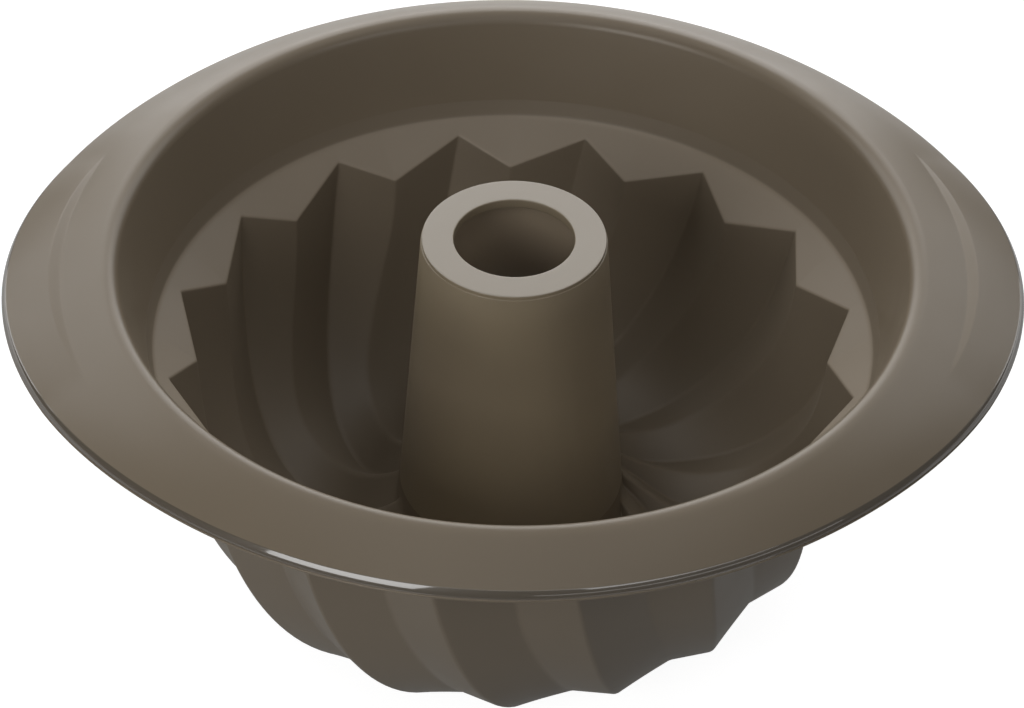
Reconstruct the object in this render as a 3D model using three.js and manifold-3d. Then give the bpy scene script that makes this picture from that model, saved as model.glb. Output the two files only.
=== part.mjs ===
// Ring cake mould in silicone: fluted bowl with a swirl, open chimney, smooth collar, drooping brim with two grips.
// Millimetres, +Z up. Origin on the table under the chimney axis, +X through the right grip.
import * as THREE from "three";
import { mergeVertices } from "three/addons/utils/BufferGeometryUtils.js";
import initManifold from "manifold-3d";

const wasm = await initManifold();
wasm.setup();

// Skin
const WALL = 2.5;
const COLOUR = 0x7d7264;

// Shoulder: the sloping ledge that carries the teeth
const LEDGE_RADIUS = 100;
const LEDGE_HEIGHT = 76.5;
const LEDGE_SLOPE_DEG = 39;
const TIP_INSET = 4;
const NOTCH_INSET = 12;

// Flutes
const FLUTES = 16;
const FLUTE_PHASE_DEG = 8.5;
const TOOTH_SHARE = 0.597;
const FLUTE_ROWS = 18;
const FOOT_CUT = 0.9;
const TROUGH_RADIUS = 53.9;
const GROOVE_LEAN = 0.083;
const GROOVE_DROP = 0.622;
const GROOVE_BELLY = 0.651;
const GROOVE_ROOT_HEIGHT = 15.1;
const GROOVE_ROOT_LEAD = 0.38;
const GROOVE_ROOT_EASE = 0.2;
const GROOVE_TWIST_DEG = [11.6, 0.6, 32];
const RIDGE_ROOT_HEIGHT = 22;
const RIDGE_LEAN = 0.086;
const RIDGE_SAG = 2.13;
const RIDGE_ROOT_DIP = 0.086;
const RIDGE_TWIST_DEG = [0.2, 54.6, -21.1];

// Chimney
const CHIMNEY_HEIGHT = 111.3;
const CHIMNEY_TOP_RADIUS = 25.1;
const CHIMNEY_DRAFT_DEG = 4.1;
const CHIMNEY_HOLE_RADIUS = 16.6;
const CHIMNEY_TOP_WALL = 2.8;
const CHIMNEY_TOP_ROUND = 1.4;
const CHIMNEY_SEGMENTS = 48;

// Collar and crest
const COLLAR_RISE = 27.8;
const COLLAR_DRAFT_DEG = 16.8;
const CREST_ROUND = 5;
const CREST_STEPS = 4;

// Brim
const BRIM_SEGMENTS = 96;
const BRIM_DROOP_DEG = 33;
const BRIM_WALL = 3.2;
const BRIM_WIDTH = 11.3;
const BRIM_EDGE_ROUND = 1.8;
const BRIM_EDGE_STEPS = 3;

// Grips
const GRIP_REACH = 13.1;
const GRIP_SPREAD = 0.43;
const GRIP_RAISE_DEG = 8.3;
const GRIP_SEGMENTS = 6;
const GRIP_STEP_SHARE = 0.72;
const GRIP_STEP_WIDTH = 3.6;
const GRIP_LIFT = 1.3;

// Heights of the level section lines, given as distances from the features they stand off
const SECTION_ABOVE_LEDGE = 5;
const SECTION_BELOW_CREST = 2;
const SECTION_BELOW_NOTCH = 2;
const SECTION_ABOVE_RIDGE_ROOT = 3;
const SECTION_BELOW_CHIMNEY_TOP = 8;

const rad = THREE.MathUtils.degToRad;
const turn = Math.PI * 2;
const chimneyTaper = Math.tan(rad(CHIMNEY_DRAFT_DEG));
const chimneyRadius = (z) => CHIMNEY_TOP_RADIUS + (CHIMNEY_HEIGHT - z) * chimneyTaper;
const collarTaper = Math.tan(rad(COLLAR_DRAFT_DEG));
const collarRadius = (z) => LEDGE_RADIUS + (z - LEDGE_HEIGHT) * collarTaper;
const ledgeHeight = (inset) => LEDGE_HEIGHT - inset * Math.tan(rad(LEDGE_SLOPE_DEG));

const tipStart = new THREE.Vector2(LEDGE_RADIUS - TIP_INSET, ledgeHeight(TIP_INSET));
const notchStart = new THREE.Vector2(LEDGE_RADIUS - NOTCH_INSET, ledgeHeight(NOTCH_INSET));
const collarCut = LEDGE_HEIGHT + SECTION_ABOVE_LEDGE;
const crestStart = LEDGE_HEIGHT + COLLAR_RISE;
const crestCut = crestStart - SECTION_BELOW_CREST;
const wallTop = notchStart.y - SECTION_BELOW_NOTCH;
const floorTop = RIDGE_ROOT_HEIGHT + SECTION_ABOVE_RIDGE_ROOT;
const chimneyCut = CHIMNEY_HEIGHT - SECTION_BELOW_CHIMNEY_TOP;

const polar = (radius, z, angle) => new THREE.Vector3(radius * Math.cos(angle), radius * Math.sin(angle), z);

// Moves an open profile to its left by a distance; both ends stay on their own level
function offsetProfile(points, distance) {
  const normals = [];
  for (let i = 0; i + 1 < points.length; i += 1) {
    const along = points[i + 1].clone().sub(points[i]).normalize();
    normals.push(new THREE.Vector2(-along.y, along.x));
  }
  return points.map((point, i) => {
    if (i === 0 || i === points.length - 1) {
      const normal = normals[Math.min(i, normals.length - 1)];
      return new THREE.Vector2(point.x + distance / normal.x, point.y);
    }
    const middle = normals[i - 1].clone().add(normals[i]).normalize();
    return point.clone().addScaledVector(middle, distance / middle.dot(normals[i]));
  });
}

// Solid between two surfaces given as rows of points round the axis; cells(r, c) says which part is filled
function shell(upper, under, cells = () => true) {
  const rows = upper.length;
  const columns = upper[0].length;
  const positions = [];
  for (const surface of [upper, under]) {
    for (const row of surface) {
      for (const point of row) {
        positions.push(point.x, point.y, point.z);
      }
    }
  }
  const top = (r, c) => r * columns + ((c + columns) % columns);
  const low = (r, c) => rows * columns + top(r, c);
  const filled = (r, c) => r >= 0 && r < rows - 1 && cells(r, (c + columns) % columns);
  const index = [];
  for (let r = 0; r < rows - 1; r += 1) {
    for (let c = 0; c < columns; c += 1) {
      if (!filled(r, c)) {
        continue;
      }
      const [a, b, d, e] = [top(r, c), top(r, c + 1), top(r + 1, c), top(r + 1, c + 1)];
      const [la, lb, ld, le] = [low(r, c), low(r, c + 1), low(r + 1, c), low(r + 1, c + 1)];
      index.push(a, b, d, b, e, d);
      index.push(la, ld, lb, lb, ld, le);
      if (!filled(r - 1, c)) {
        index.push(b, a, la, b, la, lb);
      }
      if (!filled(r + 1, c)) {
        index.push(d, e, ld, e, le, ld);
      }
      if (!filled(r, c - 1)) {
        index.push(a, d, la, d, ld, la);
      }
      if (!filled(r, c + 1)) {
        index.push(e, b, lb, e, lb, le);
      }
    }
  }
  const geometry = new THREE.BufferGeometry();
  geometry.setAttribute("position", new THREE.Float32BufferAttribute(positions, 3));
  geometry.setIndex(index);
  return mergeVertices(geometry.toNonIndexed(), 1e-5);
}

// Ring turned about the Z axis from a closed profile listed anticlockwise in radius and height
function turned(profile, segments) {
  const closed = [...profile, profile[0].clone()];
  const geometry = new THREE.LatheGeometry(closed, segments);
  geometry.rotateX(Math.PI / 2);
  return geometry;
}

function toSolid(geometry) {
  const plain = new THREE.BufferGeometry();
  plain.setAttribute("position", geometry.getAttribute("position"));
  plain.setIndex(geometry.getIndex());
  const merged = mergeVertices(plain, 1e-4);
  const mesh = new wasm.Mesh({
    numProp: 3,
    vertProperties: new Float32Array(merged.getAttribute("position").array),
    triVerts: new Uint32Array(merged.getIndex().array),
  });
  return new wasm.Manifold(mesh);
}

function toGeometry(solid) {
  const mesh = solid.getMesh();
  const geometry = new THREE.BufferGeometry();
  const positions = [];
  for (let i = 0; i < mesh.vertProperties.length; i += mesh.numProp) {
    positions.push(mesh.vertProperties[i], mesh.vertProperties[i + 1], mesh.vertProperties[i + 2]);
  }
  geometry.setAttribute("position", new THREE.Float32BufferAttribute(positions, 3));
  geometry.setIndex([...mesh.triVerts]);
  return geometry;
}

// Flute lines: the groove under each tooth tip and the ridge under each notch, running down the wall,
// along the trough and up to the foot of the chimney
const grooveFloor = WALL - FOOT_CUT;
const grooveRoot = new THREE.Vector2(chimneyRadius(GROOVE_ROOT_HEIGHT), GROOVE_ROOT_HEIGHT);
const wallSpan = new THREE.Vector2(tipStart.x - TROUGH_RADIUS, tipStart.y - grooveFloor);
const rootSpan = new THREE.Vector2(TROUGH_RADIUS - grooveRoot.x, grooveRoot.y - grooveFloor);
const grooveLine = new THREE.CurvePath();
grooveLine.add(new THREE.CubicBezierCurve(
  tipStart,
  new THREE.Vector2(tipStart.x - wallSpan.x * GROOVE_LEAN, tipStart.y - wallSpan.y * GROOVE_DROP),
  new THREE.Vector2(TROUGH_RADIUS + wallSpan.x * GROOVE_BELLY, grooveFloor),
  new THREE.Vector2(TROUGH_RADIUS, grooveFloor),
));
grooveLine.add(new THREE.CubicBezierCurve(
  new THREE.Vector2(TROUGH_RADIUS, grooveFloor),
  new THREE.Vector2(TROUGH_RADIUS - rootSpan.x * GROOVE_ROOT_LEAD, grooveFloor),
  new THREE.Vector2(grooveRoot.x + rootSpan.x * GROOVE_ROOT_EASE, grooveRoot.y - rootSpan.y * GROOVE_ROOT_EASE),
  grooveRoot,
));
const ridgeRoot = new THREE.Vector2(chimneyRadius(RIDGE_ROOT_HEIGHT), RIDGE_ROOT_HEIGHT);
const ridgeSpan = new THREE.Vector2(notchStart.x - ridgeRoot.x, notchStart.y - ridgeRoot.y);
const ridgeLine = new THREE.CubicBezierCurve(
  notchStart,
  new THREE.Vector2(notchStart.x - ridgeSpan.x * RIDGE_LEAN, notchStart.y - ridgeSpan.y * RIDGE_SAG),
  new THREE.Vector2(ridgeRoot.x, ridgeRoot.y - ridgeSpan.y * RIDGE_ROOT_DIP),
  ridgeRoot,
);
for (const line of [grooveLine, ridgeLine]) {
  line.arcLengthDivisions = 400;
}

function fluteProfile(line) {
  const points = [];
  points.push(new THREE.Vector2(collarRadius(collarCut), collarCut));
  points.push(new THREE.Vector2(LEDGE_RADIUS, LEDGE_HEIGHT));
  for (let i = 0; i <= FLUTE_ROWS; i += 1) {
    points.push(line.getPointAt(i / FLUTE_ROWS));
  }
  points.push(new THREE.Vector2(chimneyRadius(floorTop), floorTop));
  return points;
}

// Swirl of a line so many rows down: a cubic in the share of its length
function fluteTwist(row, [first, second, third]) {
  const s = THREE.MathUtils.clamp((row - 2) / FLUTE_ROWS, 0, 1);
  return rad(first * s + second * s ** 2 + third * s ** 3);
}

// Four points to a flute in each row: groove, facet middle, ridge, facet middle
function fluteSurface(groove, ridge) {
  const last = groove.length - 1;
  return groove.map((low, row) => {
    const high = ridge[row];
    const points = [];
    const round = row < 2 || row === last;
    for (let k = 0; k < FLUTES; k += 1) {
      const pitch = turn / FLUTES;
      const base = rad(FLUTE_PHASE_DEG) + k * pitch;
      const grooveTurn = fluteTwist(row, GROOVE_TWIST_DEG);
      const ridgeTurn = fluteTwist(row, RIDGE_TWIST_DEG);
      const angles = [base + grooveTurn, base + TOOTH_SHARE * pitch + ridgeTurn, base + pitch + grooveTurn];
      const corners = [
        polar(low.x, low.y, angles[0]),
        polar(high.x, high.y, angles[1]),
        polar(low.x, low.y, angles[2]),
      ];
      for (const side of [0, 1]) {
        points.push(corners[side]);
        if (round) {
          points.push(polar(low.x, low.y, (angles[side] + angles[side + 1]) / 2));
        } else {
          points.push(corners[side].clone().lerp(corners[side + 1], 0.5));
        }
      }
    }
    return points;
  });
}

function bowlSolid() {
  const groove = fluteProfile(grooveLine);
  const ridge = fluteProfile(ridgeLine);
  const inside = fluteSurface(groove, ridge);
  const outside = fluteSurface(offsetProfile(groove, WALL), offsetProfile(ridge, WALL));
  return toSolid(shell(inside, outside));
}

// Block of a stepped section turned about the axis, listed as radius and height pairs
function zone(corners) {
  return toSolid(turned(corners.map(([radius, z]) => new THREE.Vector2(radius, z)), 12));
}

// Brim: rows run from the outer edge inward, over the crest and down to the section line on the collar.
// It droops less towards the grips, and swells there from a plain circle.
const collarLean = rad(COLLAR_DRAFT_DEG);
const crestCentre = new THREE.Vector2(
  collarRadius(crestStart) + CREST_ROUND * Math.cos(collarLean),
  crestStart - CREST_ROUND * Math.sin(collarLean),
);
const brimInner = crestCentre.x + CREST_ROUND * Math.sin(rad(BRIM_DROOP_DEG));
const stepRadius = brimInner + BRIM_WIDTH * GRIP_STEP_SHARE;

function brimAt(angle) {
  const side = Math.abs(Math.cos(angle));
  const droop = rad(BRIM_DROOP_DEG - GRIP_RAISE_DEG * side ** 4);
  const swell = GRIP_SPREAD * side ** 2 + (1 - GRIP_SPREAD) * side ** 8;
  const startRadius = crestCentre.x + CREST_ROUND * Math.sin(droop);
  const startHeight = crestCentre.y + CREST_ROUND * Math.cos(droop);
  return {
    droop,
    outer: brimInner + BRIM_WIDTH + GRIP_REACH * swell,
    drop: BRIM_WALL / Math.cos(droop),
    height: (radius) => startHeight - (radius - startRadius) * Math.tan(droop),
  };
}

// One in the middle of a grip, falling to nothing at its two ends
function gripShare(angle) {
  const away = Math.abs(Math.asin(Math.sin(angle)));
  const half = (GRIP_SEGMENTS / BRIM_SEGMENTS) * turn;
  return Math.max(0, 1 - (away / half) ** 2);
}

// Rounded outer edge: step 0 is the upright side, the last step meets the sloping face
function edgePoints(angle, share) {
  const { droop, outer, drop, height } = brimAt(angle);
  const lift = GRIP_LIFT * gripShare(angle);
  const inset = BRIM_EDGE_ROUND * (1 - Math.sin(droop));
  const swing = (Math.PI / 2 - droop) * share;
  const level = height(outer - inset) + lift - BRIM_EDGE_ROUND * Math.cos(droop);
  const reach = outer - inset * share;
  return [
    new THREE.Vector2(
      outer - BRIM_EDGE_ROUND * (1 - Math.cos(swing)),
      level + BRIM_EDGE_ROUND * Math.sin(swing),
    ),
    new THREE.Vector2(reach, height(reach) + lift - drop),
  ];
}

// Crescent step in front of a grip: its foot lies on the brim, its head on the raised grip
function stepPoints(angle, atHead) {
  const { drop, height } = brimAt(angle);
  const share = gripShare(angle);
  const radius = stepRadius + (atHead ? GRIP_STEP_WIDTH * (0.2 + 0.8 * share) : 0);
  const level = height(radius) + (atHead ? GRIP_LIFT * share : 0);
  return [new THREE.Vector2(radius, level), new THREE.Vector2(radius, level - drop)];
}

// Crest round from the sloping brim over to the collar
function crestPoints(angle, share) {
  const swing = THREE.MathUtils.lerp(Math.PI / 2 - brimAt(angle).droop, Math.PI - collarLean, share);
  const skin = THREE.MathUtils.lerp(BRIM_WALL, WALL, share);
  const way = new THREE.Vector2(Math.cos(swing), Math.sin(swing));
  return [
    crestCentre.clone().addScaledVector(way, CREST_ROUND),
    crestCentre.clone().addScaledVector(way, CREST_ROUND - skin),
  ];
}

function collarPoints() {
  const radius = collarRadius(crestCut);
  return [
    new THREE.Vector2(radius, crestCut),
    new THREE.Vector2(radius + WALL / Math.cos(collarLean), crestCut),
  ];
}

function brimRows() {
  const places = [];
  for (let i = 0; i <= BRIM_EDGE_STEPS; i += 1) {
    places.push((angle) => edgePoints(angle, i / BRIM_EDGE_STEPS));
  }
  places.push((angle) => stepPoints(angle, true));
  places.push((angle) => stepPoints(angle, false));
  for (let i = 0; i <= CREST_STEPS; i += 1) {
    places.push((angle) => crestPoints(angle, i / CREST_STEPS));
  }
  places.push(collarPoints);
  const surface = (which) => places.map((place) => {
    const row = [];
    for (let c = 0; c < BRIM_SEGMENTS; c += 1) {
      const angle = (c / BRIM_SEGMENTS) * turn;
      const point = place(angle)[which];
      row.push(polar(point.x, point.y, angle));
    }
    return row;
  });
  return [surface(0), surface(1)];
}

const [brimUpper, brimUnder] = brimRows();
const gripRows = BRIM_EDGE_STEPS + 2;
const half = BRIM_SEGMENTS / 2;
const inRight = (r, c) => r < gripRows && (c < GRIP_SEGMENTS || c >= BRIM_SEGMENTS - GRIP_SEGMENTS);
const inLeft = (r, c) => r < gripRows && c >= half - GRIP_SEGMENTS && c < half + GRIP_SEGMENTS;

function collarProfile() {
  const span = WALL / Math.cos(collarLean);
  return [
    new THREE.Vector2(collarRadius(collarCut), collarCut),
    new THREE.Vector2(collarRadius(collarCut) + span, collarCut),
    new THREE.Vector2(collarRadius(crestCut) + span, crestCut),
    new THREE.Vector2(collarRadius(crestCut), crestCut),
  ];
}

const chimneySpan = WALL / Math.cos(rad(CHIMNEY_DRAFT_DEG));

function tubeProfile() {
  const low = floorTop;
  return [
    new THREE.Vector2(chimneyRadius(low) - chimneySpan, low),
    new THREE.Vector2(chimneyRadius(low), low),
    new THREE.Vector2(chimneyRadius(chimneyCut), chimneyCut),
    new THREE.Vector2(chimneyRadius(chimneyCut) - chimneySpan, chimneyCut),
  ];
}

function topRingProfile() {
  const points = [];
  const roof = CHIMNEY_HEIGHT - CHIMNEY_TOP_WALL;
  points.push(new THREE.Vector2(chimneyRadius(chimneyCut) - chimneySpan, chimneyCut));
  points.push(new THREE.Vector2(chimneyRadius(chimneyCut), chimneyCut));
  const edge = chimneyRadius(CHIMNEY_HEIGHT - CHIMNEY_TOP_ROUND) - CHIMNEY_TOP_ROUND;
  for (let i = 0; i <= 4; i += 1) {
    const swing = (i / 4) * (Math.PI / 2);
    points.push(new THREE.Vector2(
      edge + CHIMNEY_TOP_ROUND * Math.cos(swing),
      CHIMNEY_HEIGHT - CHIMNEY_TOP_ROUND * (1 - Math.sin(swing)),
    ));
  }
  points.push(new THREE.Vector2(CHIMNEY_HOLE_RADIUS, CHIMNEY_HEIGHT));
  points.push(new THREE.Vector2(CHIMNEY_HOLE_RADIUS, roof));
  points.push(new THREE.Vector2(chimneyRadius(roof) - chimneySpan, roof));
  return points;
}

const part = new THREE.Group();
part.name = "ring_cake_mould";

function addSection(name, geometry) {
  const material = new THREE.MeshStandardMaterial({ color: COLOUR, roughness: 0.55, metalness: 0 });
  material.name = `${name}_silicone`;
  geometry.computeVertexNormals();
  const mesh = new THREE.Mesh(geometry, material);
  mesh.name = name;
  part.add(mesh);
}

// The bowl is parted on level lines: shoulder above, fluted wall between, floor with the chimney foot below
const bowl = bowlSolid();
const far = LEDGE_RADIUS * 1.5;
const near = TROUGH_RADIUS;
const above = collarCut + WALL;
const shoulder = bowl.intersect(zone([[near, wallTop], [far, wallTop], [far, above], [near, above]]));
const wall = bowl.intersect(zone([[near, floorTop], [far, floorTop], [far, wallTop], [near, wallTop]]));
const floor = bowl.intersect(zone([
  [0, 0],
  [far, 0],
  [far, floorTop],
  [near, floorTop],
  [near, wallTop],
  [0, wallTop],
]));

addSection("brim", shell(brimUpper, brimUnder, (r, c) => !inRight(r, c) && !inLeft(r, c)));
addSection("left_grip", shell(brimUpper, brimUnder, inLeft));
addSection("right_grip", shell(brimUpper, brimUnder, inRight));
addSection("collar_wall", turned(collarProfile(), BRIM_SEGMENTS));
addSection("toothed_shoulder", toGeometry(shoulder));
addSection("fluted_wall", toGeometry(wall));
addSection("fluted_floor", toGeometry(floor));
addSection("chimney_tube", turned(tubeProfile(), CHIMNEY_SEGMENTS));
addSection("chimney_top_ring", turned(topRingProfile(), CHIMNEY_SEGMENTS));

export default part;
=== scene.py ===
import math
from typing import NamedTuple

import bpy
import numpy as np
from bpy.props import FloatProperty, FloatVectorProperty, IntProperty, PointerProperty
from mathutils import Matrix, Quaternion, Vector


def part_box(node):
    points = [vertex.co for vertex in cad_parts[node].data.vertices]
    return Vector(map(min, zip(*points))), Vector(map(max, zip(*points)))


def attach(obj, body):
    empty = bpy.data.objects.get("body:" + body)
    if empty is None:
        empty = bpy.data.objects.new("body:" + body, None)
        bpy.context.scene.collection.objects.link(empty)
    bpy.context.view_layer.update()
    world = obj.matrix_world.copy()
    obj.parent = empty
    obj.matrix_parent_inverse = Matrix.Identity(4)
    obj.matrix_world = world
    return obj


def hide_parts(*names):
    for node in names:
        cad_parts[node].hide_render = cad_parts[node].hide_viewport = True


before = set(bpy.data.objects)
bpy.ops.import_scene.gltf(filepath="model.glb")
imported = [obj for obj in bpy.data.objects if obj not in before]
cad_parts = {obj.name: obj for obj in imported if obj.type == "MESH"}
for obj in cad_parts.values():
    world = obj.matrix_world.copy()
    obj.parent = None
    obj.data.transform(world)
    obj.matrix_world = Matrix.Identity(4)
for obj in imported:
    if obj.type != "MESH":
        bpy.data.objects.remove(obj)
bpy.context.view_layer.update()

bl_info = {
    "name": "Silicone ring cake mould",
    "version": (1, 0, 0),
    "blender": (4, 5, 0),
    "location": "3D View > Sidebar > Mould",
    "description": "Dresses the solids of a swirled ring cake mould as one silicone moulding",
    "category": "Object",
}

# Box and levels that the solids already fix, in metres
COLLAR_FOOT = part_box("collar_wall")[0].z
FLOOR_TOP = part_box("chimney_tube")[0].z
CHIMNEY_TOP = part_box("chimney_top_ring")[1].z

# Height of the shoulder's own wall above the ledge circle
SHOULDER_RISE = 0.005

# Fineness of the bowl
FLUTE_STEPS = 46
CREASE_STEPS = 4
FILLET_STEPS = 5
GROOVE_WALL_POINTS = 240
GROOVE_FLOOR_POINTS = 120
RIDGE_POINTS = 360

# Places of the rows that hold a flat between two rounds, as shares of its width
HOLDING_SHARES = (0.06, 0.3, 0.5, 0.7, 0.94)
FEW_SHARES = HOLDING_SHARES[::2]

# Rows of an outline through a flute, and the eased rows of the ledge that carry its painted light
COLLAR_ROW = 0
LEDGE_ROW = 1
TOOTH_ROW = 2
ROOT_ROW = TOOTH_ROW + FLUTE_STEPS
CHIMNEY_ROW = ROOT_ROW + 1
LIT_LEDGE_START = LEDGE_ROW + FILLET_STEPS // 2
LIT_LEDGE_ROWS = slice(LIT_LEDGE_START, LIT_LEDGE_START + FILLET_STEPS + len(FEW_SHARES) + 1)

# Largest share of a facet that a crease takes, and rounds of the outer face over the inner ones
CREASE_LIMIT = 0.42
OUTER_ROUNDS = 1.5

# Reach of the weld between two flutes
WELD_REACH = 2e-6

# Fineness of the rim
RIM_STEPS = 288
COLLAR_STEPS = 6
CREST_POINTS = 12
BROW_POINTS = 9
STEP_POINTS = 5
EDGE_POINTS = 6
BEAD_POINTS = 8
UNDER_COLLAR_STEPS = 4
UNDER_CREST_STEPS = 6
UNDER_BROW_POINTS = 6
BRIM_SHARES = (0.06, 0.22, 0.38, 0.54, 0.7, 0.86, 0.97)
STEP_SHARES = (0.25, 0.75)
UNDER_BRIM_SHARES = (0.3, 0.65)

# How sharply the rise and the swelling of the brim gather at the grips
RAISE_POWER = 4
WIDE_POWER = 2
NARROW_POWER = 6

# Width of a crescent at its ends and its largest rounding, as shares of its width
STEP_ENDS = 0.2
STEP_ROUNDING = 0.3

# Hollow above the bead, as shares of its own size and of the bead's, and the turn of the bead
NECK_SHARES = ((0.15, 0.3), (0.7, 0.7))
NECK_RISE = 1.5
BEAD_START = math.radians(75)
BEAD_END = math.radians(-90)

# Fineness of the chimney
CHIMNEY_STEPS = 128
SIDE_POINTS = 9
LINE_POINTS = 5
TOP_POINTS = 8
HOLE_POINTS = 5
ROOF_POINTS = 4
BORE_POINTS = 7

# Edges sharper than this stay sharp in the shading
SHARP_ANGLE = math.radians(50)

# Silicone: refraction, unevenness of its gloss, and the depth and scales of its marks
SILICONE_IOR = 1.43
COAT_IOR = 2.2
GLOSS_SPREAD = 0.1
GRAIN_DEPTH = 0.0002
GRAIN_SCALE = 90.0
CLOUD_SCALE = 26.0
CLOUD_RANGE = (0.15, 0.85)
SMEAR_SCALE = 70.0
NOISE_DETAIL = 1.0
NOISE_MIDDLE = 0.5

# Floor: half its width, its paint under the glow, and where reflections see that glow, which is
# dimmed in front of the mould as painted shade
FLOOR_REACH = 4.0
FAINT_PAINT = 0.8
SHADED_FRONT_FADE = (-0.22, -0.09)
SHADED_FRONT_SHARE = 0.1
FAR_FADE = (0.2, 0.4)
FAR_SHARE = 0.5

# Camera and lamps, in millimetres for the sensor and metres for the rest
SENSOR_WIDTH = 36.0
CLIP_START = 0.01
LAMP_DISTANCE = 1.5


class Lamp(NamedTuple):
    """Place of a lamp in degrees, its size, and the kind of light that it leaves out."""

    name: str
    setting: str
    azimuth: float
    elevation: float
    width: float
    height: float
    leaves_out: str = ""


LAMPS = (
    Lamp("top_lamp", "top", 0, 88, 1.4, 1.4),
    Lamp("back_lamp", "back", 180, 33, 1.3, 0.95, "glossy"),
    Lamp("back_screen", "screen", 180, 21, 1.3, 1.2, "diffuse"),
    Lamp("back_left_lamp", "back_left", 226, 32, 0.85, 0.95),
    Lamp("back_right_lamp", "back_right", 134, 32, 0.85, 0.95),
    Lamp("key_lamp", "key", -36, 30, 0.8, 0.5, "glossy"),
    Lamp("fill_lamp", "fill", 36, 38, 1.0, 0.5),
    Lamp("front_lamp", "front", 0, 58, 0.6, 0.4),
    Lamp("low_lamp", "low", -62, 4, 0.6, 0.4, "glossy"),
    Lamp("strip_lamp", "strip", -35, 25, 0.8, 0.8, "diffuse"),
    Lamp("rail_lamp", "rail", 35, 13, 1.8, 0.09, "diffuse"),
)


# Kinds of settings


def length(name, description, default):
    return FloatProperty(
        name=name, description=description, default=default, min=0.0, unit="LENGTH", precision=4
    )


def angle(name, description, degrees):
    return FloatProperty(
        name=name, description=description, default=math.radians(degrees), subtype="ANGLE"
    )


def share(name, description, default):
    return FloatProperty(name=name, description=description, default=default, subtype="FACTOR")


def bends(name, description, degrees):
    return FloatVectorProperty(
        name=name,
        description=description,
        size=3,
        default=[math.radians(value) for value in degrees],
        unit="ROTATION",
    )


def colour(name, description, default):
    return FloatVectorProperty(
        name=name,
        description=description,
        size=3,
        default=default,
        min=0.0,
        max=1.0,
        subtype="COLOR",
    )


def power(name, description, default):
    return FloatProperty(
        name=name, description=description, default=default, min=0.0, unit="POWER"
    )


class FluteSettings(bpy.types.PropertyGroup):
    """Sizes of the fluted bowl"""

    wall: length("Wall", "Thickness of the skin", 0.0025)
    ridge_wall: length("Ridge wall", "Thickness of the skin behind the ridges", 0.0035)
    flutes: IntProperty(
        name="Flutes", description="Number of flutes round the bowl", default=16, min=3
    )
    phase: angle("Phase", "Angle of the first tooth from the right grip", 8.5)
    tooth_share: share("Tooth share", "Share of a flute from its tip to its notch", 0.597)
    ledge_radius: length("Ledge radius", "Circle where the collar meets the ledge", 0.1)
    ledge_height: length("Ledge height", "Level of that circle", COLLAR_FOOT - SHOULDER_RISE)
    ledge_slope: angle("Ledge slope", "Fall of the ledge towards the middle", 39)
    tip_inset: length("Tip inset", "Tooth tips lie this far inside the ledge circle", 0.004)
    notch_inset: length("Notch inset", "Notches lie this far inside the ledge circle", 0.012)
    trough_radius: length("Trough radius", "Radius of the lowest line of a groove", 0.0539)
    foot_cut: length("Foot cut", "Depth of the flat under each flute", 0.0009)
    groove_lean: share("Groove lean", "How far a groove leans in below its tip", 0.083)
    groove_drop: share("Groove drop", "How far down the wall of a groove stays steep", 0.622)
    groove_belly: share("Groove belly", "How far out the floor of a groove runs", 0.651)
    groove_root: length("Groove root", "Level where a groove meets the chimney", 0.0151)
    groove_lead: share("Groove lead", "How far in the floor of a groove stays level", 0.38)
    groove_ease: share("Groove ease", "How gently a groove climbs to the chimney", 0.2)
    groove_twist: bends(
        "Groove swirl", "Swirl of a groove in three powers of its length", (11.6, 0.6, 32)
    )
    ridge_root: length("Ridge root", "Level where a ridge meets the chimney", 0.022)
    ridge_lean: share("Ridge lean", "How far a ridge leans in below its notch", 0.086)
    ridge_sag: FloatProperty(name="Ridge sag", description="How deep a ridge hangs", default=2.13)
    ridge_dip: share("Ridge dip", "How steeply a ridge climbs to the chimney", 0.086)
    ridge_twist: bends(
        "Ridge swirl", "Swirl of a ridge in three powers of its length", (0.2, 54.6, -21.1)
    )
    tooth_round: length("Tooth round", "Rounding of the tooth edges", 0.0007)
    ledge_round: length("Ledge round", "Rounding where the collar meets the ledge", 0.0012)
    root_round: length("Root round", "Rounding at the foot of the chimney", 0.0016)
    crease_high: length("Upper crease", "Rounding of grooves and ridges at the teeth", 0.0006)
    crease_low: length("Lower crease", "Rounding of grooves and ridges on the floor", 0.0024)
    crease_out: length("Outer crease", "Rounding of grooves and ridges on the outer face", 0.0010)


class ChimneySettings(bpy.types.PropertyGroup):
    """Sizes of the chimney"""

    height: length("Height", "Level of its top", CHIMNEY_TOP)
    top_radius: length("Top radius", "Outer radius at the top", 0.0255)
    draft: angle("Draft", "Taper of its side", 4.1)
    hole_radius: length("Hole radius", "Radius of the hole in the top", 0.0166)
    top_wall: length("Top wall", "Thickness of the top ring", 0.0028)
    top_round: length("Top round", "Rounding of the outer top edge", 0.0003)
    hole_round: length("Hole round", "Rounding of the hole", 0.0003)
    line_drop: length("Line drop", "Depth of the moulding line below the top", 0.001)
    line_step: length("Line step", "How far the top ring is set back above that line", 0.00022)
    roof_round: length("Roof round", "Rounding between the bore and the top ring", 0.001)


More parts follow.
